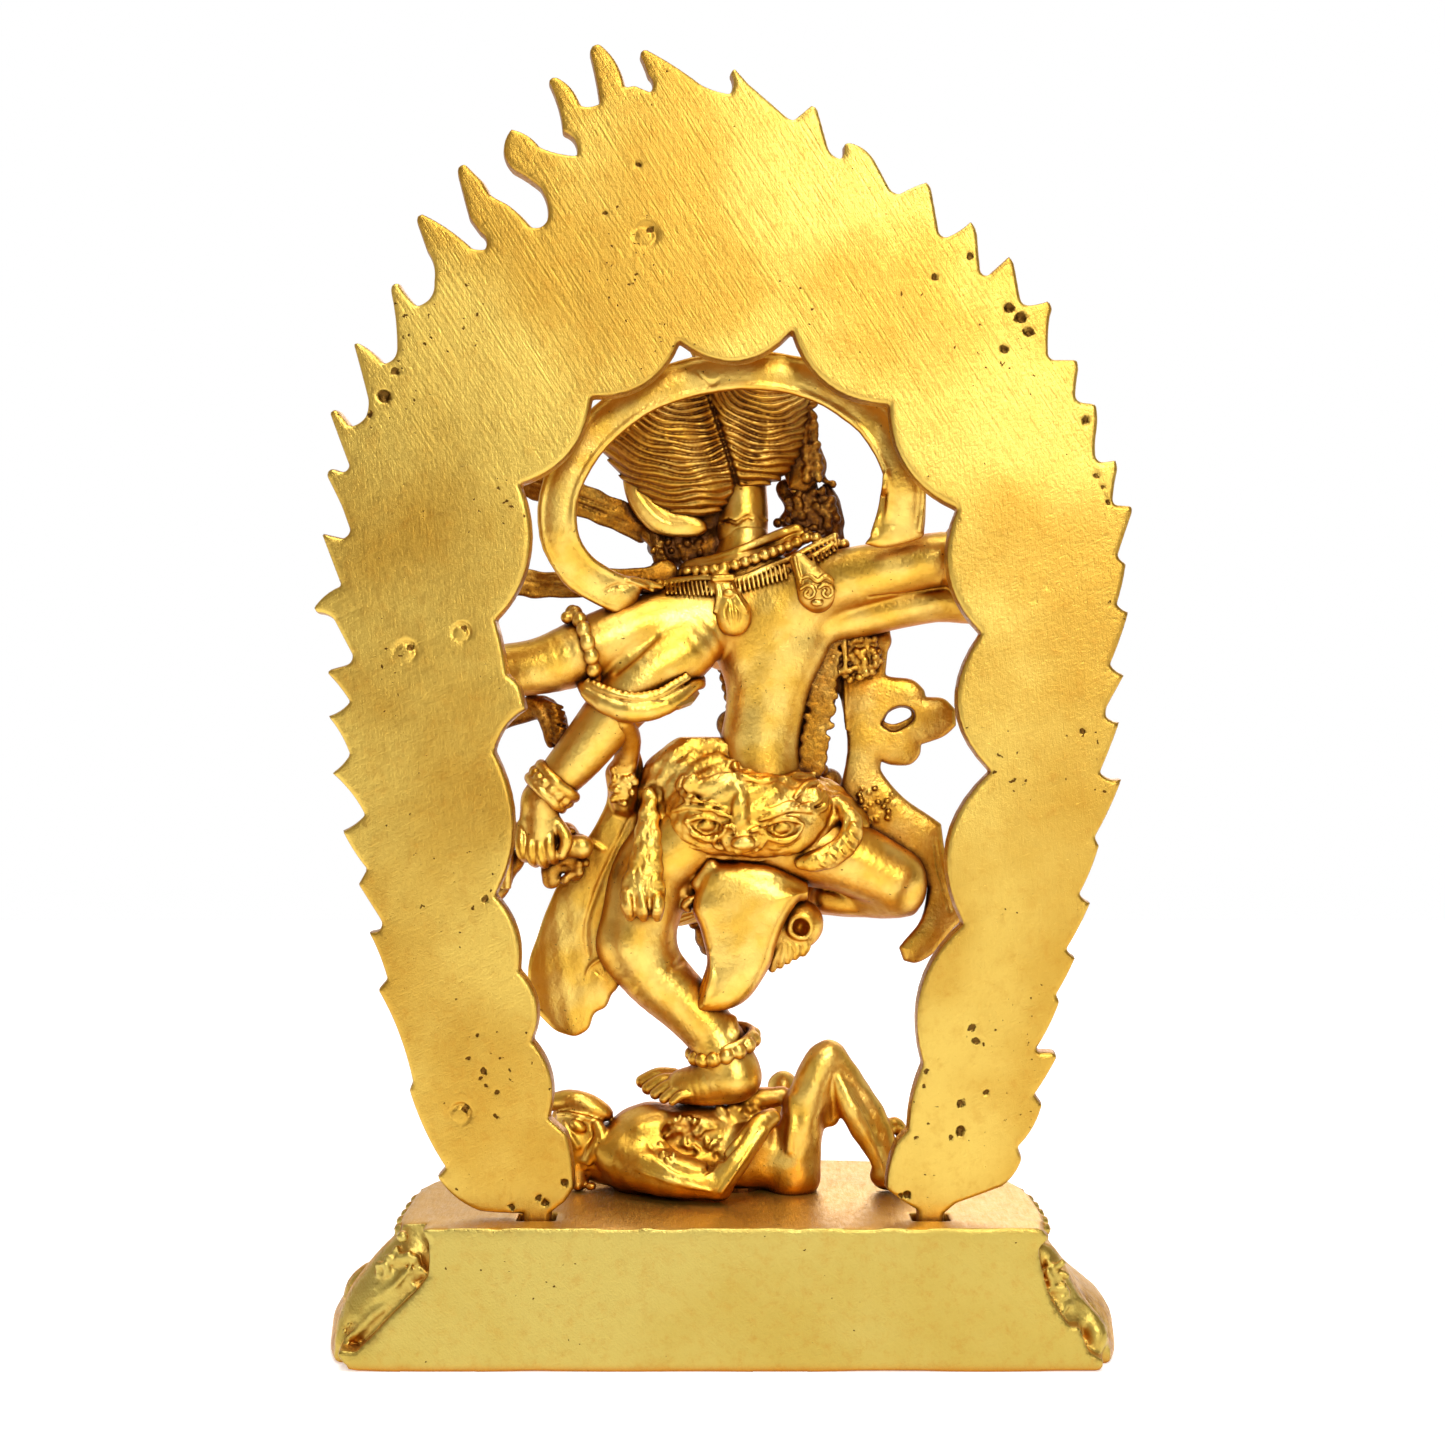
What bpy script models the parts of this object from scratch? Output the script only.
"""Gilt brass altar statue: a dancing four-armed goddess on a fallen figure, on a hollow lotus pedestal,
in front of a lift-off aureole of flames.

Every length in this file is in millimetres until it becomes a mesh, which is in metres. +Z is up, the
goddess faces -Y, and her left side is +X. The origin is at the middle of the underside of the pedestal.
"""

import math

import bmesh
import bpy
from mathutils import Vector

MM = 0.001

# Pedestal: a flat rear face and a half-round front, flaring towards its foot.
BASE_TOP = 16.3
REAR_FACE = 22.0
BASE_MIDDLE = 9.0
TOP_HALF_WIDTH = 38.2
TOP_DEPTH = 25.0
FOOT_HALF_WIDTH = 47.0
FOOT_DEPTH = 31.0
BASE_WALL = 2.3
COVER_THICKNESS = 1.2

# Aureole: a cast plate that stands in two slots of the pedestal.
AUREOLE_BACK = 17.3
AUREOLE_THICKNESS = 3.0
TENON_FOOT = 6.5
TENON_PLAY = 0.5
LEFT_TENON = (20.2, 23.5)
RIGHT_TENON = (-26.1, -22.9)

# A piece that touches a neighbour stops this far short of it.
CLEARANCE = 0.34

# Peg under the fallen figure, held below the pedestal's top by a cross pin.
TANG = (-2.0, 1.0)
TANG_RADIUS = 2.6
TANG_FOOT = 7.0
PIN_RADIUS = 0.9
PIN_LENGTH = 16.0
PIN_HEIGHT = 12.4

# Corners closer than this are one corner.
WELD = 0.001

PIECES = []
SHELLS = []


# ---------------------------------------------------------------- materials

def brass(name, colour, roughness):
    """A metallic material with one colour and one roughness."""
    material = bpy.data.materials.new(name)
    material.use_nodes = True
    shader = material.node_tree.nodes["Principled BSDF"]
    shader.inputs["Base Color"].default_value = (*colour, 1.0)
    shader.inputs["Metallic"].default_value = 1.0
    shader.inputs["Roughness"].default_value = roughness
    material.diffuse_color = (*colour, 1.0)
    return material


# ---------------------------------------------------------------- mesh tools

def vec(point):
    """A point in millimetres as a vector in metres."""
    return Vector(point[:3]) * MM


def to_object(name, bm):
    """A bmesh as a new object of the scene, its faces pointing out."""
    mesh = bpy.data.meshes.new(name)
    bmesh.ops.recalc_face_normals(bm, faces=bm.faces[:])
    bm.to_mesh(mesh)
    bm.free()
    item = bpy.data.objects.new(name, mesh)
    bpy.context.scene.collection.objects.link(item)
    return item


def catmull(stations, per_span, closed=False):
    """A smooth path through stations, each a tuple of equal length."""
    count = len(stations)
    spans = count if closed else count - 1
    path = []
    for i in range(spans):
        if closed:
            p = [stations[(i + k - 1) % count] for k in range(4)]
        else:
            p = [stations[min(max(i + k - 1, 0), count - 1)] for k in range(4)]
        for step in range(per_span):
            t = step / per_span
            path.append(tuple(
                0.5 * (2 * b + (c - a) * t + (2 * a - 5 * b + 4 * c - d) * t * t
                       + (3 * b - a - 3 * c + d) * t ** 3)
                for a, b, c, d in zip(*p)))
    if not closed:
        path.append(tuple(stations[-1]))
    return path


def bridge(bm, rings, closed):
    """Quads between neighbouring rings of vertices."""
    last = len(rings) if closed else len(rings) - 1
    for i in range(last):
        a = rings[i]
        b = rings[(i + 1) % len(rings)]
        for k in range(len(a)):
            n = (k + 1) % len(a)
            bm.faces.new((a[k], a[n], b[n], b[k]))


def ring_at(bm, centre, side, depth, radius, flat, sides):
    """One ring of vertices round a centre, in metres."""
    ring = []
    for k in range(sides):
        angle = 2 * math.pi * k / sides
        offset = side * (radius * math.cos(angle)) + depth * (radius * flat * math.sin(angle))
        ring.append(bm.verts.new(centre + offset))
    return ring


def tube(stations, sides=8, flat=1.0, per_span=2, closed=False):
    """A round or flattened tube through (x, y, z, radius) stations, with domed ends."""
    path = catmull(stations, per_span, closed)
    points = [vec(p) for p in path]
    radii = [p[3] * MM for p in path]
    count = len(points)
    bm = bmesh.new()
    rings = []
    depth = None
    for i in range(count):
        before = points[(i - 1) % count] if closed or i else points[i]
        after = points[(i + 1) % count] if closed or i < count - 1 else points[i]
        tangent = (after - before).normalized()
        if depth is None:
            depth = Vector((0, 1, 0)) if abs(tangent.y) < 0.9 else Vector((0, 0, 1))
        depth = (depth - tangent * depth.dot(tangent)).normalized()
        side = depth.cross(tangent)
        if not closed and i == 0:
            rings += dome(bm, points[i], -tangent, side, depth, radii[i], flat, sides)
        rings.append(ring_at(bm, points[i], side, depth, radii[i], flat, sides))
        if not closed and i == count - 1:
            rings += reversed(dome(bm, points[i], tangent, side, depth, radii[i], flat, sides))
    if closed:
        bridge(bm, rings, True)
        return bm
    bridge(bm, rings, False)
    bm.faces.new(reversed(rings[0]))
    bm.faces.new(rings[-1])
    return bm


def dome(bm, centre, outward, side, depth, radius, flat, sides):
    """The rings of a tube's domed end, from the smallest to the largest."""
    rings = []
    for angle in (math.radians(68), math.radians(38)):
        middle = centre + outward * (radius * math.sin(angle))
        rings.append(ring_at(bm, middle, side, depth, radius * math.cos(angle), flat, sides))
    return rings


def blob(centre, radii, segments=12, rings=7):
    """An ellipsoid."""
    bm = bmesh.new()
    bmesh.ops.create_uvsphere(bm, u_segments=segments, v_segments=rings, radius=1.0)
    bmesh.ops.scale(bm, vec=vec(radii), verts=bm.verts[:])
    bmesh.ops.translate(bm, vec=vec(centre), verts=bm.verts[:])
    return bm


def stack(sections, sides=20):
    """Level elliptical rings on top of each other: (x, y, z, half width, half depth)."""
    bm = bmesh.new()
    rings = []
    for x, y, z, half_width, half_depth in sections:
        ring = []
        for k in range(sides):
            angle = 2 * math.pi * k / sides
            place = (x + half_width * math.cos(angle), y + half_depth * math.sin(angle), z)
            ring.append(bm.verts.new(vec(place)))
        rings.append(ring)
    bridge(bm, rings, False)
    bm.faces.new(reversed(rings[0]))
    bm.faces.new(rings[-1])
    return bm


def trace(outline, step=3.2):
    """Points round a closed outline of (x, z, bow), drawn with the metal on its left. bow is the height of
    the arc to the next point over its chord, positive where the arc swells away from the metal."""
    points = []
    for i, (x, z, bow) in enumerate(outline):
        points.append((x, z))
        nx, nz, _ = outline[(i + 1) % len(outline)]
        if abs(bow) < 1e-6:
            continue
        dx, dz = nx - x, nz - z
        chord = math.hypot(dx, dz)
        pieces = max(2, min(8, round(chord * (1 + 2 * abs(bow)) / step)))
        for k in range(1, pieces):
            t = k / pieces
            rise = 4 * bow * t * (1 - t)
            points.append((x + dx * t + dz * rise, z + dz * t - dx * rise))
    return points


def plate(points, front, back):
    """A flat plate cut to a traced outline, from y = front to y = back."""
    bm = bmesh.new()
    near = [bm.verts.new(vec((x, back, z))) for x, z in points]
    far = [bm.verts.new(vec((x, front, z))) for x, z in points]
    bm.faces.new(near)
    bm.faces.new(reversed(far))
    bridge(bm, [near, far], False)
    return bm


def rod(start, end, radius, sides=14):
    """A plain cylinder with flat ends."""
    a, b = vec(start), vec(end)
    bm = bmesh.new()
    bmesh.ops.create_cone(bm, cap_ends=True, segments=sides, radius1=radius * MM, radius2=radius * MM,
                          depth=(b - a).length)
    turn = Vector((0, 0, 1)).rotation_difference(b - a).to_matrix().to_4x4()
    bmesh.ops.transform(bm, matrix=turn, verts=bm.verts[:])
    bmesh.ops.translate(bm, vec=(a + b) / 2, verts=bm.verts[:])
    return bm


def box(low, high):
    """A rectangular block between two corners."""
    bm = bmesh.new()
    bmesh.ops.create_cube(bm, size=1.0)
    low, high = vec(low), vec(high)
    bmesh.ops.scale(bm, vec=high - low, verts=bm.verts[:])
    bmesh.ops.translate(bm, vec=(low + high) / 2, verts=bm.verts[:])
    return bm


def boolean(target, cutter, operation):
    """Applies one exact Boolean to target and throws the cutter away."""
    modifier = target.modifiers.new(operation.lower(), "BOOLEAN")
    modifier.operation = operation
    modifier.object = cutter
    modifier.solver = "EXACT"
    view = bpy.context.evaluated_depsgraph_get()
    result = bpy.data.meshes.new_from_object(target.evaluated_get(view))
    target.modifiers.clear()
    old = target.data
    target.data = result
    bpy.data.meshes.remove(old)
    drop(cutter)


def drop(item):
    """Removes an object and its mesh."""
    mesh = item.data
    bpy.data.objects.remove(item)
    bpy.data.meshes.remove(mesh)


def islands(bm):
    """The separate bodies of a bmesh, as sets of faces."""
    waiting = set(bm.faces)
    bodies = []
    while waiting:
        front = [waiting.pop()]
        body = set(front)
        while front:
            face = front.pop()
            for edge in face.edges:
                for other in edge.link_faces:
                    if other in waiting:
                        waiting.remove(other)
                        body.add(other)
                        front.append(other)
        bodies.append(body)
    return bodies


def signed_volume(faces):
    """Volume under a set of triangles."""
    total = 0.0
    for face in faces:
        a, b, c = (v.co for v in face.verts)
        total += a.dot(b.cross(c)) / 6
    return total


def keep_largest(item):
    """Leaves only the biggest body of an object, in triangles."""
    bm = bmesh.new()
    bm.from_mesh(item.data)
    bmesh.ops.remove_doubles(bm, verts=bm.verts[:], dist=WELD * MM)
    bmesh.ops.triangulate(bm, faces=bm.faces[:])
    bodies = sorted(islands(bm), key=lambda body: abs(signed_volume(body)))
    spare = [face for body in bodies[:-1] for face in body]
    bmesh.ops.delete(bm, geom=spare, context="FACES")
    bm.to_mesh(item.data)
    bm.free()


def grown_mesh(bm, amount):
    """A copy of a bmesh, as a mesh whose surface stands out by amount."""
    copy = bm.copy()
    bmesh.ops.recalc_face_normals(copy, faces=copy.faces[:])
    copy.normal_update()
    moves = [vert.normal * (amount * MM * min(vert.calc_shell_factor(), 2.0)) for vert in copy.verts]
    for vert, move in zip(copy.verts, moves):
        vert.co += move
    bmesh.ops.triangulate(copy, faces=copy.faces[:])
    mesh = bpy.data.meshes.new("grown")
    copy.to_mesh(mesh)
    copy.free()
    return mesh


def corners(mesh):
    """Lowest and highest corner of a mesh."""
    points = [v.co for v in mesh.vertices]
    low = Vector(min(p[k] for p in points) for k in range(3))
    high = Vector(max(p[k] for p in points) for k in range(3))
    return low, high


def near(a, b):
    """Whether the boxes of two meshes overlap."""
    low_a, high_a = corners(a)
    low_b, high_b = corners(b)
    return all(low_a[k] < high_b[k] and low_b[k] < high_a[k] for k in range(3))


def add(name, shapes, material, cuts=(), fitted=False):
    """Joins overlapping shapes into one named piece of the statue, makes its cuts, and cuts it clear of the
    pieces built before it. A fitted piece has its clearance already and is left as it is."""
    shapes = shapes if isinstance(shapes, list) else [shapes]
    shells = [grown_mesh(shape, CLEARANCE) for shape in shapes]
    item = to_object(name, shapes[0])
    for shape in shapes[1:]:
        boolean(item, to_object("shape", shape), "UNION")
    for cut in cuts:
        boolean(item, to_object("cut", cut), "DIFFERENCE")
    for shell in [] if fitted else SHELLS:
        if near(item.data, shell):
            cutter = bpy.data.objects.new("shell", shell.copy())
            bpy.context.scene.collection.objects.link(cutter)
            boolean(item, cutter, "DIFFERENCE")
    keep_largest(item)
    item.data.name = name
    item.data.materials.clear()
    item.data.materials.append(material)
    item.data.shade_smooth()
    item.data.set_sharp_from_angle(angle=math.radians(40))
    SHELLS.extend(shells)
    PIECES.append(item)


# ---------------------------------------------------------------- pedestal

def blend(a, b, t):
    """a at t = 0, b at t = 1."""
    return a + (b - a) * t


def profile(table, height):
    """Reads a table of (height, value) by straight lines."""
    for (z0, v0), (z1, v1) in zip(table, table[1:]):
        if height <= z1:
            return blend(v0, v1, (height - z0) / (z1 - z0))
    return table[-1][1]


# How far the pedestal has flared, from 0 at its top to 1 at its foot: at the rear corners, over the petals.
REAR_FLARE = [(0, 1.0), (0.6, 0.98), (2.4, 0.83), (5, 0.45), (8, 0.13), (11.5, -0.1), (14.4, -0.15),
              (15.0, 0.0), (BASE_TOP, 0.0)]
PETAL_FLARE = [(0, 1.0), (2.0, 0.96), (3.7, 0.93), (5.6, 0.8), (8, 0.5), (10.6, 0.2), (12.8, 0.02),
               (14.4, -0.15), (15.0, 0.0), (BASE_TOP, 0.0)]


def base_ring(height, inset=0.0, count=34):
    """The pedestal's outline at one height, as (x, y): a squarish half oval closed by the flat rear face."""
    rear = REAR_FACE - inset
    points = []
    for k in range(count + 1):
        around = -1 + 2 * k / count
        sweep = math.radians(90) + around * math.radians(122)
        towards_front = min(1.0, (1 - abs(around)) / 0.18)
        flare = blend(profile(REAR_FLARE, height), profile(PETAL_FLARE, height), towards_front)
        wide = blend(TOP_HALF_WIDTH, FOOT_HALF_WIDTH, flare) - inset
        deep = blend(TOP_DEPTH, FOOT_DEPTH, flare) - inset
        power = blend(3.0, 2.2, min(max(flare, 0.0), 1.0))
        c, s = math.cos(sweep), math.sin(sweep)
        reach = (abs(c / wide) ** power + abs(s / deep) ** power) ** (-1 / power)
        x, y = reach * c, BASE_MIDDLE - reach * s
        if y > rear:
            share = (rear - BASE_MIDDLE) / (y - BASE_MIDDLE)
            flat_x = wide * (1 - abs((rear - BASE_MIDDLE) / deep) ** power) ** (1 / power)
            x, y = math.copysign(max(flat_x, abs(x) * share), x), rear
        points.append((x, y))
    return points


def base_solid(levels, inset=0.0):
    """A lofted block of the pedestal's outline, through (height, inset) levels."""
    bm = bmesh.new()
    rings = []
    for height, extra in levels:
        outline = base_ring(min(max(height, 0.0), BASE_TOP), inset + extra)
        rings.append([bm.verts.new(vec((x, y, height))) for x, y in outline])
    bridge(bm, rings, False)
    bm.faces.new(reversed(rings[0]))
    bm.faces.new(rings[-1])
    bmesh.ops.remove_doubles(bm, verts=bm.verts[:], dist=0.01 * MM)
    return bm


def tenon_slot(span):
    """Block that cuts one of the aureole's slots through the pedestal's top."""
    play = TENON_PLAY
    front = AUREOLE_BACK - AUREOLE_THICKNESS
    low = (span[0] - play, front - play, TENON_FOOT)
    high = (span[1] + play, AUREOLE_BACK + play, BASE_TOP + 2)
    return box(low, high)


def base_shell():
    """Hollow cast pedestal, open underneath, with two slots and a round hole through its top."""
    levels = [(z, 0.0) for z in (0, 2.4, 4.6, 8, 10.6, 12.8, 14.4, 15.0, BASE_TOP)]
    hollow = [(-1, 0), (2.4, 0), (5.6, 0), (8, 0), (11.5, 0), (BASE_TOP - BASE_WALL, 0.6)]
    x, y = TANG
    hole = rod((x, y, TENON_FOOT), (x, y, BASE_TOP + 2), TANG_RADIUS + CLEARANCE)
    cuts = [base_solid(hollow, BASE_WALL), tenon_slot(LEFT_TENON), tenon_slot(RIGHT_TENON), hole]
    return [base_solid(levels)], cuts


def base_cover():
    """Sheet that closes the pedestal from below, let into its rim."""
    bm = bmesh.new()
    rings = []
    for height in (0.0, COVER_THICKNESS):
        outline = base_ring(0.0, BASE_WALL + CLEARANCE)
        rings.append([bm.verts.new(vec((x, y, height))) for x, y in outline])
    bridge(bm, rings, False)
    bm.faces.new(reversed(rings[0]))
    bm.faces.new(rings[-1])
    bmesh.ops.remove_doubles(bm, verts=bm.verts[:], dist=0.01 * MM)
    return [bm]


def tang():
    """Round peg under the fallen figure, drilled for the cross pin."""
    x, y = TANG
    half = PIN_LENGTH / 2
    drill = rod((x - half, y, PIN_HEIGHT), (x + half, y, PIN_HEIGHT), PIN_RADIUS + CLEARANCE)
    return [rod((x, y, TANG_FOOT), (x, y, BASE_TOP + 0.5), TANG_RADIUS)], [drill]


def tang_pin():
    """Cross pin that keeps the peg from pulling out of the pedestal."""
    x, y = TANG
    half = PIN_LENGTH / 2
    return [rod((x - half, y, PIN_HEIGHT), (x + half, y, PIN_HEIGHT), PIN_RADIUS)]


# ---------------------------------------------------------------- aureole

# Outer edge from the left tenon up over the crown of flames and down to the right tenon. Each flame is a
# swelling flank up to its tip and a hollow one down to the next notch.
RIM = [
    (23.5, 16.9, 0.02), (28.6, 17.2, 0.08), (33.6, 21.3, 0.0), (32.6, 22.4, 0.04),
    (36.9, 31.5, 0.0), (36.5, 32.5, 0.04), (40.6, 43.3, 0.0), (39.6, 44.3, 0.02),
    (41.7, 50.1, 0.0), (40.2, 51.3, 0.02), (42.9, 55.7, 0.0), (41.9, 57.5, 0.03),
    (44.8, 62.0, -0.06), (42.2, 63.9, 0.06), (46.0, 68.8, -0.06), (43.9, 71.0, 0.05),
    (46.5, 75.5, -0.06), (43.9, 77.2, 0.05), (46.5, 80.5, -0.06), (43.6, 82.3, 0.05),
    (48.2, 88.3, 0.08), (45.0, 90.9, 0.05), (47.3, 97.0, -0.08), (44.1, 96.8, -0.06),
    (46.6, 104.3, -0.08), (44.3, 104.4, -0.05), (45.8, 111.8, -0.08), (42.2, 110.9, 0.1),
    (43.5, 119.5, -0.05), (39.2, 117.1, 0.12), (39.3, 125.6, 0.2), (38.4, 126.8, -0.08),
    (35.4, 123.7, 0.18), (36.1, 133.9, 0.2), (35.7, 134.6, 0.05), (28.1, 130.7, -0.03),
    (31.1, 138.0, 0.15), (30.6, 140.7, 0.12), (27.3, 137.3, -0.04), (21.6, 133.2, 0.2),
    (21.2, 137.0, -0.1), (25.9, 141.2, 0.1), (24.7, 144.9, 0.05), (21.2, 142.5, -0.15),
    (17.3, 142.2, -0.1), (20.6, 150.0, 0.2), (20.1, 150.8, 0.1), (16.7, 147.5, -0.2),
    (14.7, 147.6, -0.08), (15.8, 154.0, 0.25), (14.8, 154.8, 0.05), (11.5, 149.7, -0.15),
    (8.7, 149.1, -0.1), (9.8, 153.4, 0.2), (9.4, 154.0, 0.05), (0.0, 148.8, -0.2),
    (-1.3, 151.8, 0.05), (-8.3, 145.7, -0.1), (-10.5, 147.4, 0.1), (-13.7, 141.2, -0.2),
    (-15.0, 143.0, 0.1), (-20.8, 137.0, -0.15), (-24.0, 138.4, 0.12), (-26.4, 131.9, -0.15),
    (-29.4, 133.7, 0.12), (-31.1, 127.4, -0.1), (-33.8, 129.6, 0.1), (-35.6, 124.0, -0.1),
    (-38.3, 124.4, 0.1), (-38.8, 117.4, -0.1), (-41.8, 117.3, 0.06), (-42.3, 112.5, -0.1),
    (-44.0, 112.4, 0.06), (-44.6, 105.5, -0.1), (-46.4, 105.7, 0.08), (-46.2, 100.5, -0.1),
    (-48.2, 100.3, 0.08), (-46.6, 94.4, -0.05), (-47.6, 93.5, 0.04), (-46.5, 88.7, -0.05),
    (-47.9, 87.8, 0.05), (-45.7, 81.6, -0.05), (-47.4, 80.4, 0.04), (-45.2, 75.5, -0.05),
    (-46.8, 74.8, 0.05), (-44.5, 68.9, -0.05), (-47.1, 68.2, 0.05), (-43.9, 61.3, 0.0),
    (-44.4, 60.3, 0.03), (-42.1, 54.6, 0.0), (-43.4, 53.6, 0.03), (-40.6, 48.1, 0.0),
    (-41.7, 47.2, 0.03), (-39.4, 42.7, 0.0), (-39.8, 41.9, 0.05), (-37.0, 36.4, -0.05),
    (-39.4, 35.3, 0.03), (-36.8, 31.0, 0.0), (-37.7, 29.8, 0.1), (-34.8, 24.8, 0.0),
    (-35.3, 23.4, 0.12), (-32.9, 20.1, 0.0), (-27.5, 18.1, 0.0), (-26.1, 16.9, 0.0),
]

# Inner edge from the right tenon up round the arch and down to the left tenon: lobes between sharp notches.
ARCH = [
    (-22.9, 17.3, 0.02), (-19.2, 19.9, 0.05), (-20.4, 25.5, 0.0), (-21.8, 27.0, 0.05),
    (-23.5, 34.6, 0.16), (-28.2, 51.1, 0.19), (-31.4, 69.0, 0.21), (-30.3, 85.2, 0.17),
    (-27.5, 99.8, 0.16), (-19.5, 112.0, 0.175), (-8.2, 120.7, 0.225), (5.1, 119.5, 0.175),
    (15.4, 113.0, 0.165), (23.7, 102.7, 0.18), (26.6, 86.8, 0.02), (25.2, 80.5, 0.03),
    (23.7, 79.1, 0.0), (23.0, 76.3, 0.03), (26.7, 71.4, 0.10), (26.6, 54.5, 0.14),
    (23.8, 45.6, 0.2), (22.3, 37.4, 0.14), (20.3, 28.3, 0.0), (18.2, 26.4, 0.03),
    (17.4, 20.0, 0.0), (18.5, 18.3, 0.0), (20.2, 17.0, 0.0),
]

# Plugs hammered flush into the plate: x, z, radius.
PLUGS = [(9.1, 131.9, 1.25), (37.3, 83.0, 1.2), (30.7, 85.3, 1.0), (30.8, 28.7, 1.1)]


def tenon(span):
    """The two lower corners of a tenon as outline points, drawn from its first side to its second."""
    return [(span[0], TENON_FOOT, 0.0), (span[1], TENON_FOOT, 0.0)]


def aureole_plate():
    """Flame plate with its two tenons and a hole for each plug."""
    outline = RIM + tenon(RIGHT_TENON) + ARCH + tenon(LEFT_TENON)
    front = AUREOLE_BACK - AUREOLE_THICKNESS
    drills = [rod((x, front - 1, z), (x, AUREOLE_BACK + 1, z), radius + CLEARANCE) for x, z, radius in PLUGS]
    return [plate(trace(outline), front, AUREOLE_BACK)], drills


def aureole_plug(x, z, radius):
    """One plug, as long as the plate is thick."""
    return [rod((x, AUREOLE_BACK - AUREOLE_THICKNESS, z), (x, AUREOLE_BACK, z), radius)]


# ---------------------------------------------------------------- goddess: body

def tiger_skin():
    """The wrapped tiger skin round her hips: the tiger's face lies over her seat."""
    wrap = tube([(6.2, 1.0, 63.2, 4.6), (1.0, 1.6, 63.3, 6.0), (-4.5, 1.8, 63.2, 6.4),
                 (-10.0, 1.0, 62.6, 5.4), (-13.5, 0.6, 62.3, 4.2)], sides=14)
    return [wrap]


def torso():
    """Trunk from the waist to the joint in the neck, slim above the hips and broad at the shoulders."""
    return [stack([
        (-4.8, 1.0, 66.0, 5.6, 4.6), (-5.0, 1.0, 70.0, 5.0, 4.2), (-5.1, 1.1, 75.0, 4.9, 4.0),
        (-6.0, 1.2, 80.0, 6.0, 4.3), (-6.1, 1.0, 84.0, 7.6, 4.7), (-4.6, 0.9, 87.5, 9.4, 4.9),
        (-3.6, 0.8, 90.5, 9.4, 4.7), (-3.3, 0.8, 93.5, 7.0, 4.2), (-3.0, 0.8, 96.0, 3.9, 3.5),
        (-2.8, 0.8, 98.0, 3.1, 3.0), (-2.7, 0.8, 99.6, 3.0, 2.9)])]


def head():
    """Head with its own length of neck and two long ears, cast apart and set on the torso's neck."""
    neck = tube([(-2.6, 0.6, 103.0, 2.9), (-1.8, 0.0, 106.0, 3.4)])
    skull = blob((-0.4, -1.8, 109.6), (7.0, 7.2, 8.4), 14, 9)
    left_ear = tube([(8.6, 0.0, 106.5, 1.2), (9.6, 1.0, 102.6, 1.7), (6.6, 1.4, 100.0, 1.5)], flat=0.8)
    lobe_root = tube([(5.0, -1.0, 108.5, 2.0), (8.6, 0.2, 106.3, 1.5)])
    right_ear = tube([(-6.4, -0.5, 108.3, 1.6), (-8.6, 0.2, 106.6, 1.7), (-8.8, 0.2, 105.2, 1.3)], flat=0.8)
    return [neck, skull, lobe_root, left_ear, right_ear]


def hair():
    """Combed hair over the back of the head, parted into two fans."""
    left_fan = blob((5.2, 3.2, 109.2), (8.0, 4.6, 7.8), 14, 9)
    left_tip = tube([(7.0, 3.0, 108.0, 5.0), (12.8, 3.4, 107.9, 1.3)])
    right_fan = blob((-4.4, 3.2, 110.9), (5.9, 4.8, 6.2), 12, 8)
    return [left_fan, left_tip, right_fan]


def topknot():
    """Knot of hair above the crown, ending in a jewel."""
    return tube([(0.2, 0.5, 118.4, 4.2), (0.2, 0.8, 122.5, 4.4), (0.2, 0.8, 126.0, 2.6),
                 (0.2, 0.8, 128.2, 1.2)])


def crown():
    """Band across the brow with five upright leaves and a frill beside each ear."""
    parts = []
    arc = []
    for k in range(7):
        angle = math.radians(-20 - k * 140 / 6)
        arc.append((-0.4 + 8.2 * math.cos(angle), -1.8 + 8.4 * math.sin(angle), 113.4, 1.1))
    parts.append(tube(arc, sides=6, per_span=1))
    for k in range(5):
        angle = math.radians(-30 - k * 30)
        x, y = -0.4 + 8.4 * math.cos(angle), -1.8 + 8.6 * math.sin(angle)
        leaf = [(x, y, 113.6, 1.6), (x * 1.03, y - 0.2, 117.4, 1.5), (x * 1.05, y - 0.2, 120.2, 0.5)]
        parts.append(tube(leaf, sides=6, per_span=1))
    frill = [(-7.6, -4.6, 113.4, 1.2), (-10.6, -1.6, 113.0, 1.6), (-11.4, 0.2, 109.0, 1.7),
             (-11.6, 0.6, 106.2, 1.1)]
    parts.append(tube(frill, sides=6))
    return parts


def hand(wrist, knuckles, radius):
    """A closed fist between the wrist and the knuckles."""
    return tube([(*wrist, radius * 0.8), (*knuckles, radius)], sides=10)


def left_upper_arm():
    """Left arm of the upper pair, held straight out to the side to grasp the bow."""
    arm = tube([(4.0, 2.0, 87.6, 4.2), (10.0, 3.6, 87.0, 4.1), (16.5, 5.2, 84.4, 3.8),
                (22.0, 6.2, 82.0, 3.3), (29.0, 6.4, 80.8, 3.1), (35.0, 6.0, 80.9, 2.3)], sides=10)
    return [arm, hand((35.0, 6.0, 80.9), (38.6, 5.4, 81.2), 2.5)]


def left_lower_arm():
    """Left arm of the lower pair, reaching down and out to the noose."""
    arm = tube([(3.6, 4.0, 84.0, 4.4), (8.6, 5.6, 80.8, 4.7), (12.8, 6.6, 76.6, 3.5),
                (17.2, 6.6, 71.8, 2.9), (22.0, 6.2, 66.6, 2.5)], sides=10)
    palm = tube([(22.0, 6.2, 66.6, 2.3), (22.6, 6.0, 62.8, 2.6), (22.3, 5.6, 58.6, 2.4)], flat=0.8)
    return [arm, palm]


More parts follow.
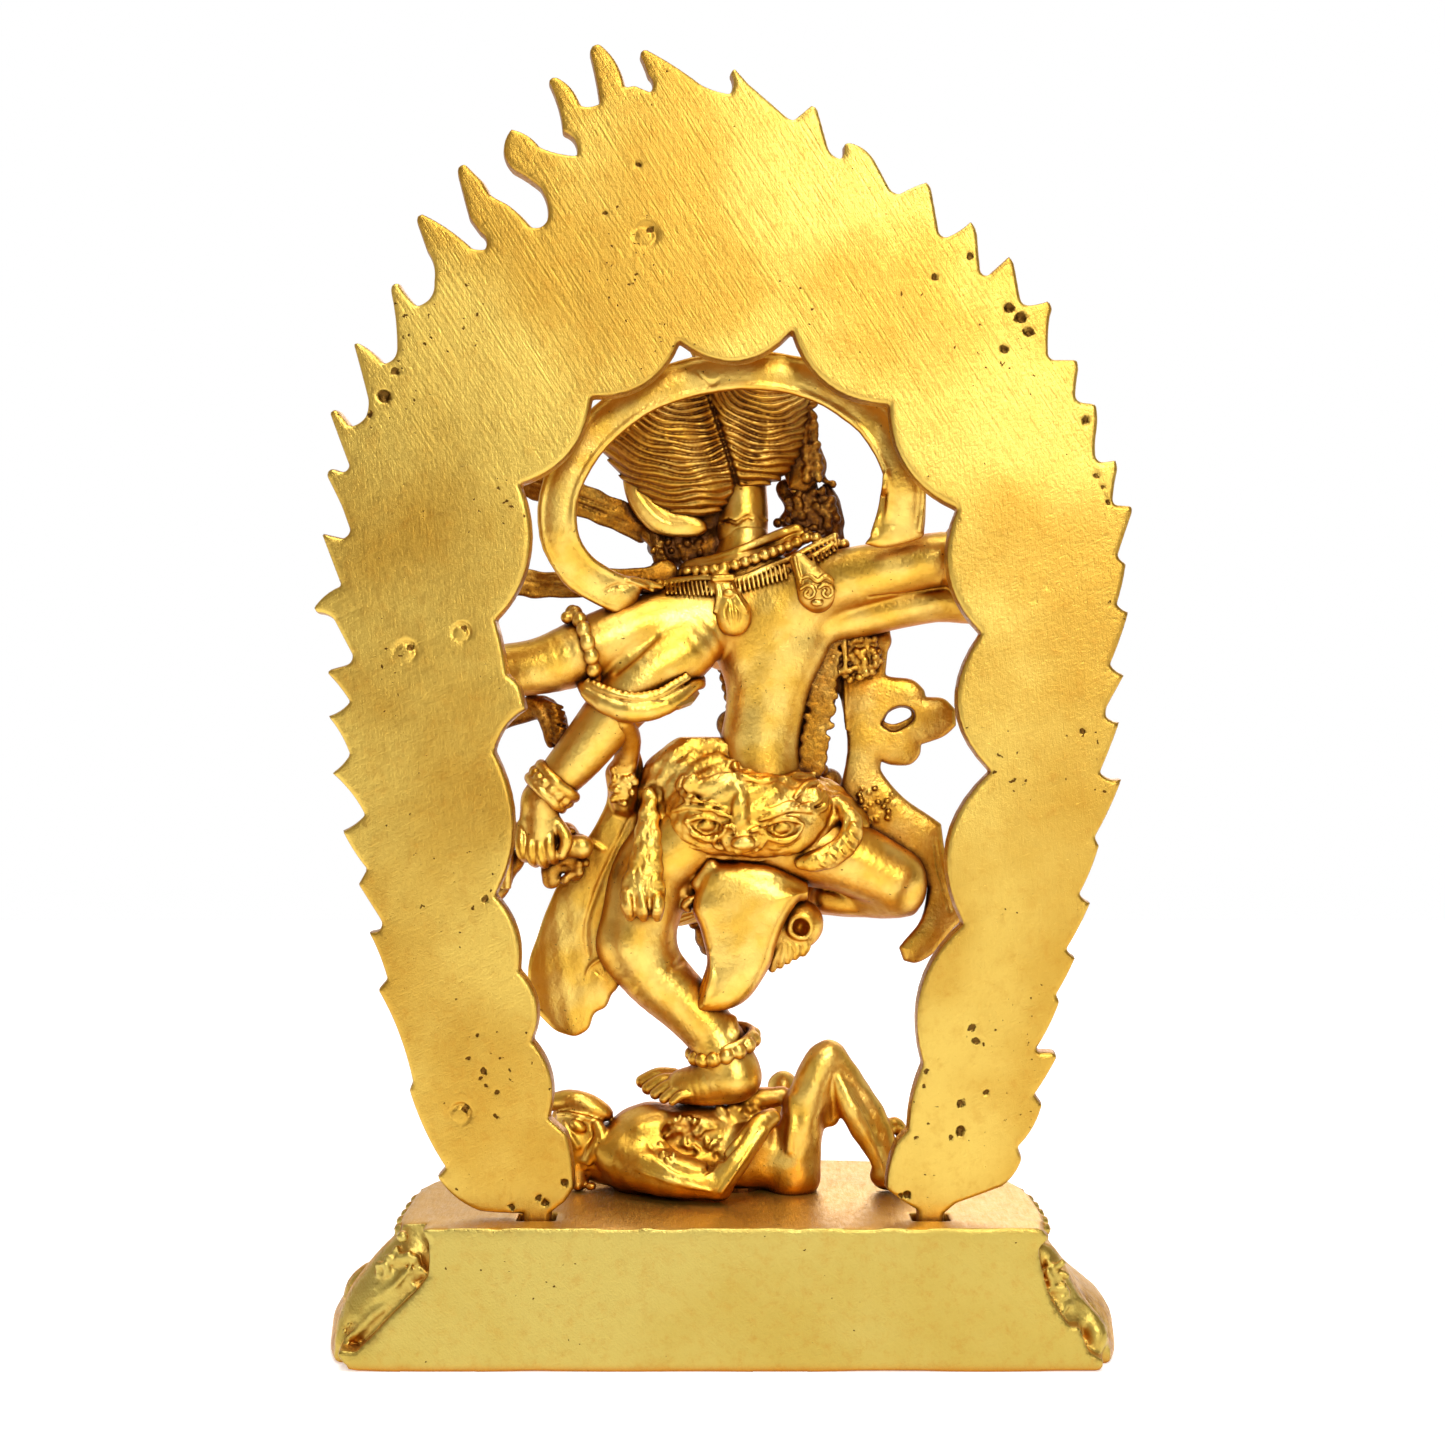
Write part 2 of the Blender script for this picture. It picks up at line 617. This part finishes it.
def right_upper_arm():
    """Right arm of the upper pair, elbow out, the fist drawing the bowstring in front of the chest."""
    arm = tube([(-9.0, 2.0, 90.6, 4.1), (-15.0, 3.8, 92.4, 3.9), (-21.0, 5.4, 93.8, 3.6),
                (-27.0, 6.2, 94.8, 3.4), (-31.5, 5.0, 95.0, 3.0), (-31.0, -0.5, 95.0, 2.7),
                (-25.5, -5.4, 94.6, 2.1)], sides=10)
    return [arm, hand((-25.5, -5.4, 94.6), (-22.6, -8.0, 94.4), 2.4)]


def right_lower_arm():
    """Right arm of the lower pair, bent up to carry the hook."""
    arm = tube([(-10.0, 1.0, 86.8, 3.0), (-18.0, 3.0, 87.4, 2.7), (-26.5, 4.0, 88.6, 2.5),
                (-33.0, 3.4, 88.8, 2.7), (-36.4, 2.0, 92.6, 2.4), (-37.2, 0.6, 99.0, 1.9)], sides=10)
    return [arm, hand((-37.2, 0.6, 99.0), (-37.4, 0.2, 102.4), 2.4)]


def standing_leg():
    """Left leg, bent outwards at the knee, its foot on the fallen figure's chest."""
    thigh = tube([(3.0, 1.0, 61.5, 5.6), (8.8, 1.0, 53.6, 4.8), (11.6, 1.0, 47.0, 4.4)], sides=10)
    shin = tube([(11.6, 1.0, 47.0, 4.2), (5.6, 1.4, 40.2, 3.6), (1.4, 2.0, 35.6, 3.3),
                 (-0.2, 2.2, 32.6, 3.0)], sides=10)
    foot = tube([(-1.8, 2.4, 30.0, 2.7), (2.6, 1.6, 29.0, 2.3), (7.0, 0.6, 28.6, 1.6),
                 (9.2, 0.2, 28.4, 1.1)], sides=10)
    return [thigh, shin, foot]


def raised_leg():
    """Right leg, knee out to the side and the calf folded back in front of the thigh."""
    thigh = tube([(-5.0, 0.0, 60.4, 5.6), (-13.5, 0.6, 59.2, 4.9), (-21.4, 0.6, 54.8, 4.0)], sides=10)
    calf = tube([(-21.4, -0.4, 54.4, 3.6), (-13.0, -4.6, 53.4, 3.1), (-4.0, -8.0, 53.4, 2.3)], sides=10)
    foot = tube([(-4.0, -8.0, 53.4, 2.2), (0.6, -9.2, 51.4, 2.0), (5.6, -9.6, 49.6, 1.2)], sides=10)
    return [thigh, calf, foot]


# ---------------------------------------------------------------- goddess: dress

def left_paw():
    """The tiger's paw hanging down the back of her left thigh."""
    return tube([(9.2, 5.0, 66.4, 1.1), (9.6, 6.0, 61.0, 1.7), (10.0, 6.4, 55.5, 2.3),
                 (10.0, 6.0, 52.4, 2.3)], flat=0.55)


def right_paw():
    """The tiger's other paw, tucked round her right thigh."""
    return tube([(-14.8, 4.4, 65.4, 0.9), (-16.4, 5.0, 62.0, 1.5), (-15.4, 5.6, 59.0, 1.6),
                 (-11.6, 6.0, 57.2, 0.9)], flat=0.7)


def hanging_sash():
    """Broad leaf-shaped end of the sash, hanging behind the knees."""
    return tube([(-3.0, 3.6, 55.6, 4.2), (-2.6, 4.2, 50.2, 6.0), (-1.2, 4.4, 45.0, 4.9),
                 (1.8, 4.4, 41.2, 2.3), (3.2, 4.4, 39.6, 0.8)], sides=12, flat=0.42)


def skull_garland():
    """Long garland of skulls over both shoulders, hanging in front of the body to the knees."""
    route = [(-11.6, -2.6, 88.0), (-12.6, -2.6, 80.0), (-12.2, -2.8, 72.0), (-14.6, -6.6, 64.0),
             (-12.4, -9.4, 55.0), (-6.0, -12.2, 46.6), (2.0, -12.2, 46.4), (7.0, -10.4, 55.0),
             (6.0, -8.4, 64.0), (-0.6, -6.4, 73.0), (-0.2, -6.0, 81.0), (2.4, -4.8, 87.0)]
    smooth = catmull(route, 3)
    stations = [(x, y, z, 1.05 + 0.45 * math.cos(math.pi * k)) for k, (x, y, z) in enumerate(smooth)]
    return tube(stations, sides=6, per_span=1)


def garland_skull():
    """One skull of the garland that has swung behind the raised leg, with its tassel."""
    skull = blob((-10.2, 1.6, 49.4), (2.3, 2.0, 2.9))
    tassel = tube([(-9.6, 1.6, 48.4, 1.8), (-8.4, 1.8, 45.6, 2.0)], flat=0.6)
    return [skull, tassel]


def band(centre, half_x, half_y, rise_x, rise_y, radius):
    """A closed ring round the body: it rises by rise_x over half_x and by rise_y over half_y."""
    stations = []
    for k in range(20):
        angle = math.radians(18 * k)
        c, s = math.cos(angle), math.sin(angle)
        stations.append((centre[0] + half_x * c, centre[1] + half_y * s,
                         centre[2] + rise_x * c + rise_y * s, radius))
    return tube(stations, sides=6, per_span=1, closed=True)


def loop(centre, across, towards, radius):
    """A closed ring round a limb, spanned by two half axes."""
    c0, a, b = Vector(centre), Vector(across), Vector(towards)
    stations = []
    for k in range(16):
        angle = math.radians(22.5 * k)
        stations.append((*(c0 + a * math.cos(angle) + b * math.sin(angle)), radius))
    return tube(stations, sides=6, per_span=1, closed=True)


def left_pendant():
    """Leaf-shaped clasp end of the necklaces, hanging between the shoulder blades."""
    return tube([(-0.2, 6.2, 91.4, 1.5), (-1.0, 6.4, 88.4, 2.1), (-1.2, 6.2, 86.8, 1.3)], flat=0.5)


def right_pendant():
    """The other clasp end, a curled head over the right shoulder blade."""
    return tube([(-9.6, 5.8, 94.2, 1.5), (-11.6, 6.4, 91.4, 2.2), (-11.6, 6.2, 90.0, 1.8)], flat=0.6)


def left_earring():
    """Ring that hangs under the long left ear."""
    return tube([(6.2, 0.4, 97.4, 1.5), (2.2, 0.4, 97.8, 1.2)])


def right_earring():
    """Ring and spray of the right ear."""
    ring = tube([(-8.8, -0.6, 103.2, 1.2), (-11.0, -0.8, 101.0, 2.6), (-13.2, -0.4, 98.8, 1.3)])
    spray = tube([(-12.0, -0.8, 102.4, 1.5), (-13.4, -0.8, 104.6, 0.7)])
    return [ring, spray]


# ---------------------------------------------------------------- goddess: scarves

def ribbon(route, width, thickness):
    """A flat ribbon along (x, y, z) points in an upright plane."""
    stations = [(x, y, z, width / 2) for x, y, z in route]
    return tube(stations, sides=10, flat=thickness / width)


def scarf_hoop():
    """Scarf that flies up behind the head in a hoop, from the left shoulder to a foot on the right arm."""
    hoop = ribbon([(13.0, 7.6, 91.0), (17.4, 9.4, 93.2), (19.6, 10.6, 97.6), (19.0, 11.0, 103.4),
                   (15.4, 11.0, 109.6), (8.4, 11.0, 114.8), (-2.0, 11.0, 117.2), (-11.2, 11.0, 115.8),
                   (-18.4, 11.0, 111.2), (-22.0, 11.0, 104.8), (-22.6, 9.8, 100.4)], 4.4, 1.9)
    foot = tube([(-22.5, 9.8, 101.4, 2.1), (-22.5, 8.6, 98.6, 2.9)], sides=10, flat=0.55)
    return [hoop, foot]


LEFT_SCARF = [
    (10.6, 71.0, -0.05), (9.4, 66.6, 0.0), (10.6, 50.0, 0.0), (13.6, 41.2, 0.3), (16.0, 38.8, -0.15),
    (16.2, 37.8, 0.4), (21.6, 37.4, -0.1), (22.8, 38.0, 0.06), (24.6, 43.6, 0.03), (20.0, 56.0, 0.0),
    (15.2, 63.6, 0.0), (14.6, 66.2, -0.1), (12.2, 73.6, 0.0),
]

RIGHT_SCARF = [
    (-19.4, 85.4, 0.0), (-20.2, 80.8, 0.3), (-25.4, 79.0, 0.3), (-29.0, 75.8, 0.3), (-24.9, 72.4, 0.3),
    (-22.8, 69.7, -0.1), (-20.0, 69.8, -0.15), (-21.6, 66.0, -0.02), (-27.6, 62.0, 0.0), (-28.2, 58.0, 0.0),
    (-30.4, 50.4, 0.08), (-28.8, 48.4, 0.0), (-24.4, 43.4, 0.15), (-22.2, 46.4, 0.0), (-25.0, 50.0, 0.0),
    (-25.8, 54.0, -0.04), (-22.5, 60.6, 0.0), (-17.0, 65.0, -0.03), (-15.4, 71.0, -0.02), (-14.6, 78.0, 0.0),
    (-14.6, 85.6, 0.0),
]

SCARF_HOLE = [(-19.9, 74.6, 0.2), (-22.4, 76.6, 0.2), (-23.8, 75.6, 0.2), (-21.4, 73.8, 0.2)]


def left_scarf():
    """Scarf end that hangs from the left elbow and widens to a lobed blade beside the standing leg."""
    blade = plate(trace(LEFT_SCARF), 0.2, 1.8)
    sling = loop((10.2, 5.8, 77.4), (7.0, 0.0, 0.4), (0.0, 4.6, -2.6), 1.1)
    strap = tube([(12.0, 9.6, 75.0, 1.4), (11.6, 5.0, 72.0, 1.6), (12.0, 1.2, 69.0, 1.4)])
    return [blade, strap, sling]


def right_scarf():
    """Scarf end that hangs from the right arm: a pierced trefoil, then a strip round the raised knee."""
    return [plate(trace(RIGHT_SCARF), -0.8, 0.8)], [plate(trace(SCARF_HOLE), -3.0, 3.0)]


def ear_ribbon():
    """Ribbon that flies out sideways behind the left ear."""
    return ribbon([(27.0, 3.4, 105.6), (19.6, 3.4, 103.0), (14.0, 3.0, 101.0), (9.6, 2.6, 98.8)], 3.8, 1.5)


def shoulder_ribbon():
    """Ribbon that flies out sideways from the left shoulder."""
    return ribbon([(29.0, 3.4, 92.8), (22.0, 3.4, 91.8), (14.0, 3.4, 92.4), (7.4, 2.8, 92.2)], 3.0, 1.4)


def arm_ribbon():
    """Short gathered ribbon end that hangs below the left upper arm."""
    return tube([(30.0, 3.0, 73.0, 1.5), (25.6, 3.2, 75.4, 1.6), (22.4, 3.4, 76.0, 1.9),
                 (21.0, 3.4, 72.4, 0.9)], flat=0.7)


# ---------------------------------------------------------------- goddess: attributes

def bow():
    """Recurved bow, upright in the left upper fist."""
    return tube([(33.0, 3.0, 62.0, 0.8), (37.6, 4.0, 67.0, 1.0), (41.2, 5.0, 74.0, 1.1),
                 (41.4, 5.4, 81.2, 1.3), (40.6, 5.0, 88.4, 1.1), (36.4, 4.0, 95.0, 1.0),
                 (31.6, 3.0, 99.4, 0.8)])


def arrow():
    """Arrow across the chest, from the right upper fist to the bow."""
    return tube([(-20.8, -9.0, 94.2, 0.65), (10.0, -6.2, 88.8, 0.65), (38.0, 2.4, 83.8, 0.65),
                 (43.6, 3.0, 83.2, 0.9)], sides=6)


def hook():
    """Elephant goad, upright in the right lower fist."""
    staff = tube([(-37.4, 0.2, 94.0, 0.9), (-37.6, 0.2, 103.0, 0.9), (-37.8, 0.2, 113.0, 0.8)])
    claw = tube([(-37.8, 0.2, 110.4, 0.9), (-34.6, 0.2, 113.6, 1.0), (-32.2, 0.2, 111.0, 0.6)])
    return [staff, claw]


def noose():
    """Looped cord that falls from the left lower fist."""
    return tube([(24.4, 4.6, 60.4, 1.0), (29.0, 4.2, 63.4, 1.0), (35.0, 4.0, 62.0, 1.0),
                 (38.6, 4.0, 55.0, 1.0), (36.4, 4.0, 46.0, 1.0), (31.6, 4.0, 44.4, 1.0),
                 (29.6, 3.6, 50.0, 1.0), (26.4, 3.4, 55.0, 1.0)])


# ---------------------------------------------------------------- fallen figure

def corpse_body():
    """The fallen figure's trunk and head, lying on its back with the head to the goddess's left."""
    trunk = tube([(11.6, 1.0, 21.4, 4.3), (6.0, 1.0, 21.8, 4.9), (-1.0, 1.0, 20.8, 4.1),
                  (-7.0, 1.4, 20.6, 3.9)], sides=14)
    face = blob((17.2, 0.6, 22.2), (3.9, 4.2, 5.4), 12, 8)
    return [trunk, face]


def corpse_near_arm():
    """The arm at the back of the statue: down to the elbow on the pedestal, and up over the belly."""
    return tube([(12.0, 5.0, 20.8, 2.6), (6.6, 7.4, 19.4, 2.6), (1.0, 8.4, 18.8, 2.4),
                 (-2.4, 7.4, 21.6, 2.2), (-5.6, 6.0, 24.6, 1.9)])


def corpse_far_arm():
    """The arm at the front of the statue, thrown out beside the head."""
    return tube([(11.0, -4.0, 20.6, 2.6), (13.6, -8.6, 19.2, 2.2), (18.4, -9.6, 18.8, 1.8),
                 (21.6, -8.6, 18.6, 1.6)])


def corpse_near_leg():
    """The leg at the back of the statue: thigh up to the knee, shin down to the foot."""
    thigh = tube([(-9.4, 2.0, 19.6, 3.1), (-10.8, 2.0, 26.0, 2.7), (-12.8, 2.0, 31.4, 2.4)])
    shin = tube([(-12.8, 2.0, 31.4, 2.4), (-16.4, 2.2, 25.8, 2.4), (-20.0, 2.6, 19.4, 1.9)])
    foot = tube([(-19.8, 2.6, 18.8, 1.7), (-23.6, 2.2, 18.4, 1.4)])
    return [thigh, shin, foot]


def corpse_far_leg():
    """The leg at the front of the statue, bent lower and turned outwards."""
    thigh = tube([(-7.6, -3.6, 20.4, 2.9), (-8.2, -8.4, 25.6, 2.5)])
    shin = tube([(-8.2, -8.4, 25.6, 2.4), (-13.6, -9.6, 18.8, 1.8)])
    foot = tube([(-13.6, -9.6, 18.6, 1.6), (-17.4, -9.0, 18.4, 1.3)])
    return [thigh, shin, foot]


# ---------------------------------------------------------------- assembly

def clear_scene():
    """Starts from an empty scene."""
    for item in list(bpy.data.objects):
        bpy.data.objects.remove(item)


def build_pedestal(gilt, copper):
    """Pedestal, its cover and the peg that holds the figures."""
    block, cuts = base_shell()
    add("base_shell", block, gilt, cuts)
    add("base_cover_plate", base_cover(), copper, fitted=True)
    peg, drills = tang()
    add("figure_tang", peg, gilt, drills, fitted=True)
    add("tang_pin", tang_pin(), copper, fitted=True)


def build_aureole(gilt, copper):
    """Plate and plugs: the one part that lifts off."""
    sheet, drills = aureole_plate()
    add("aureole_plate", sheet, gilt, drills, fitted=True)
    for number, spot in enumerate(PLUGS, start=1):
        add(f"aureole_plug_{number}", aureole_plug(*spot), copper, fitted=True)


def build_body(gilt):
    """The goddess's body, and the figure under her foot."""
    add("tiger_skin", tiger_skin(), gilt)
    add("torso", torso(), gilt)
    add("head", head(), gilt)
    add("hair", hair(), gilt)
    add("topknot", topknot(), gilt)
    add("standing_leg", standing_leg(), gilt)
    add("raised_leg", raised_leg(), gilt)
    add("right_upper_arm", right_upper_arm(), gilt)
    add("right_lower_arm", right_lower_arm(), gilt)
    add("left_upper_arm", left_upper_arm(), gilt)
    add("left_lower_arm", left_lower_arm(), gilt)
    add("corpse_body", corpse_body(), gilt)
    add("corpse_near_arm", corpse_near_arm(), gilt)
    add("corpse_far_arm", corpse_far_arm(), gilt)
    add("corpse_near_leg", corpse_near_leg(), gilt)
    add("corpse_far_leg", corpse_far_leg(), gilt)


def build_ornaments(gilt):
    """Crown, necklaces, rings and garland."""
    add("crown", crown(), gilt)
    add("left_earring", left_earring(), gilt)
    add("right_earring", right_earring(), gilt)
    add("plain_necklace", band((-3.1, 0.4, 96.6), 5.6, 5.2, -1.9, 1.2, 1.0), gilt)
    add("beaded_necklace", band((-3.2, 0.4, 94.6), 7.7, 5.6, -2.1, 1.2, 1.0), gilt)
    add("ribbed_necklace", band((-3.5, 0.4, 92.0), 10.6, 6.0, -2.4, 1.4, 1.0), gilt)
    add("left_pendant", left_pendant(), gilt)
    add("right_pendant", right_pendant(), gilt)
    add("left_upper_armlet", loop((17.4, 5.4, 83.9), (1.2, 0.0, 4.1), (-1.0, 4.0, 0.3), 1.0), gilt)
    add("left_lower_armlet", loop((9.9, 5.8, 79.0), (6.2, 0.0, 0.6), (0.0, 4.6, -2.0), 0.9), gilt)
    add("left_bracelet", loop((21.2, 6.2, 67.4), (1.8, 0.0, 1.7), (0.0, 2.7, 0.0), 1.0), gilt)
    add("left_anklet", loop((0.2, 2.0, 33.6), (3.5, 0.0, 0.1), (0.0, 3.4, -0.4), 1.1), gilt)


def build_dress(gilt):
    """Tiger paws, sash and garland."""
    add("left_paw", left_paw(), gilt)
    add("right_paw", right_paw(), gilt)
    add("hanging_sash", hanging_sash(), gilt)
    add("skull_garland", skull_garland(), gilt)
    add("garland_skull", garland_skull(), gilt)


def build_scarves(gilt):
    """Hoop, hanging ends and flying ribbons."""
    add("scarf_hoop", scarf_hoop(), gilt)
    add("left_scarf", left_scarf(), gilt)
    strip, hole = right_scarf()
    add("right_scarf", strip, gilt, hole)
    add("ear_ribbon", ear_ribbon(), gilt)
    add("shoulder_ribbon", shoulder_ribbon(), gilt)
    add("arm_ribbon", arm_ribbon(), gilt)


def build_attributes(gilt):
    """What the four hands hold."""
    add("bow", bow(), gilt)
    add("arrow", arrow(), gilt)
    add("hook", hook(), gilt)
    add("noose", noose(), gilt)


def main():
    """Builds the statue."""
    clear_scene()
    gilt = brass("gilt_brass", (0.62, 0.39, 0.10), 0.35)
    cast = brass("cast_brass", (0.55, 0.32, 0.07), 0.42)
    copper = brass("hammered_brass", (0.50, 0.27, 0.07), 0.45)
    build_pedestal(gilt, copper)
    build_aureole(gilt, copper)
    build_body(cast)
    build_dress(cast)
    build_ornaments(cast)
    build_scarves(cast)
    build_attributes(cast)
    aureole = bpy.data.objects.new("aureole_lift", None)
    bpy.context.scene.collection.objects.link(aureole)
    for item in PIECES:
        if item.name.startswith("aureole_"):
            item.parent = aureole


main()
